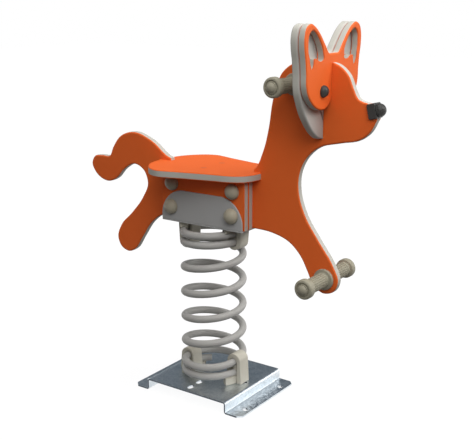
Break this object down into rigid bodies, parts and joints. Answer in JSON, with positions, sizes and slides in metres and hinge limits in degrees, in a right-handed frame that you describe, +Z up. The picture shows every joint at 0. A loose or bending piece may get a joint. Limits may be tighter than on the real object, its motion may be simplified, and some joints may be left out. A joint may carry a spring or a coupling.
{
  "type": "spring rider",
  "caption": "Playground spring rider: flat fox-like figure of layered sheet with seat, hand grips and foot pegs, rocking on a coil spring clamped to a raised ground plate.",
  "frame": {"origin": "on the ground, on the coil spring's axis, at the centre of the ground bolt holes", "axes": "+X forwards to the figure's head, +Y to the rider's left, +Z up along the spring"},
  "size_m": [0.8738, 0.255, 0.946],
  "materials": {
    "orange_sheet": "fine-grained polyethylene sheet, orange skins over a grey core",
    "grey_sheet": "fine-grained polyethylene sheet, grey",
    "clamp_moulding": "moulded polyamide, satin",
    "grip_moulding": "moulded polyethylene, satin",
    "bolt_cap": "moulded nylon, half gloss",
    "dark_cap": "moulded nylon, half gloss",
    "spring_coat": "powder coat, satin grey",
    "bracket_coat": "powder coat, satin grey",
    "galvanised": "hot-dip galvanised, spangled",
    "screw_coat": "coated in the colour of the sheet",
    "fastener_steel": "zinc-plated steel"
  },
  "bodies": {
    "base": {"base_plate": "galvanised", "lower_front_pad": "clamp_moulding", "lower_front_spacer": "clamp_moulding", "lower_front_arch": "clamp_moulding", "lower_rear_pad": "clamp_moulding", "lower_rear_spacer": "clamp_moulding", "lower_rear_arch": "clamp_moulding", "lower_clamp_bolts": "fastener_steel"},
    "spring": {"coil_spring": "spring_coat"},
    "rider": {"upper_front_pad": "clamp_moulding", "upper_front_spacer": "clamp_moulding", "upper_front_arch": "clamp_moulding", "upper_rear_pad": "clamp_moulding", "upper_rear_spacer": "clamp_moulding", "upper_rear_arch": "clamp_moulding", "upper_clamp_screws": "fastener_steel", "saddle_web": "bracket_coat", "saddle_plate_left": "bracket_coat", "saddle_plate_right": "bracket_coat", "body_panel": "orange_sheet", "inner_side_left": "orange_sheet", "inner_side_right": "orange_sheet", "outer_side_left": "orange_sheet", "outer_side_right": "orange_sheet", "seat_board": "orange_sheet", "seat_screws": "screw_coat", "upper_stack_rods": "fastener_steel", "lower_stack_rods": "fastener_steel", "stack_washers": "fastener_steel", "stack_nuts": "fastener_steel", "upper_bolt_caps": "bolt_cap", "lower_bolt_caps": "bolt_cap", "face_front": "orange_sheet", "face_back": "grey_sheet", "face_bracket_left": "fastener_steel", "face_bracket_right": "fastener_steel", "bracket_bolt": "fastener_steel", "bracket_nut": "fastener_steel", "eye_bolts": "fastener_steel", "eye_nuts": "fastener_steel", "eye_caps": "dark_cap", "nose_cap": "dark_cap", "nose_screw": "fastener_steel", "nose_dome": "dark_cap", "hand_grip_left": "grip_moulding", "hand_grip_right": "grip_moulding", "foot_grip_left": "grip_moulding", "foot_grip_right": "grip_moulding", "hand_rod": "fastener_steel", "foot_rod": "fastener_steel", "rod_nuts": "fastener_steel", "hand_grip_caps": "grip_moulding", "foot_grip_caps": "grip_moulding"}
  },
  "joints": [
    {"name": "rock_sideways", "type": "hinge", "parent": "base", "child": "spring", "pos_m": [0, 0, 0.24], "axis": [1, 0, 0], "range_deg": [-12, 12], "stiffness_Nm_per_rad": 660, "deforming": ["coil_spring"]},
    {"name": "rock_fore_aft", "type": "hinge", "parent": "spring", "child": "rider", "pos_m": [0, 0, 0.24], "axis": [0, 1, 0], "range_deg": [-20, 20], "stiffness_Nm_per_rad": 660, "deforming": ["coil_spring"]}
  ]
}
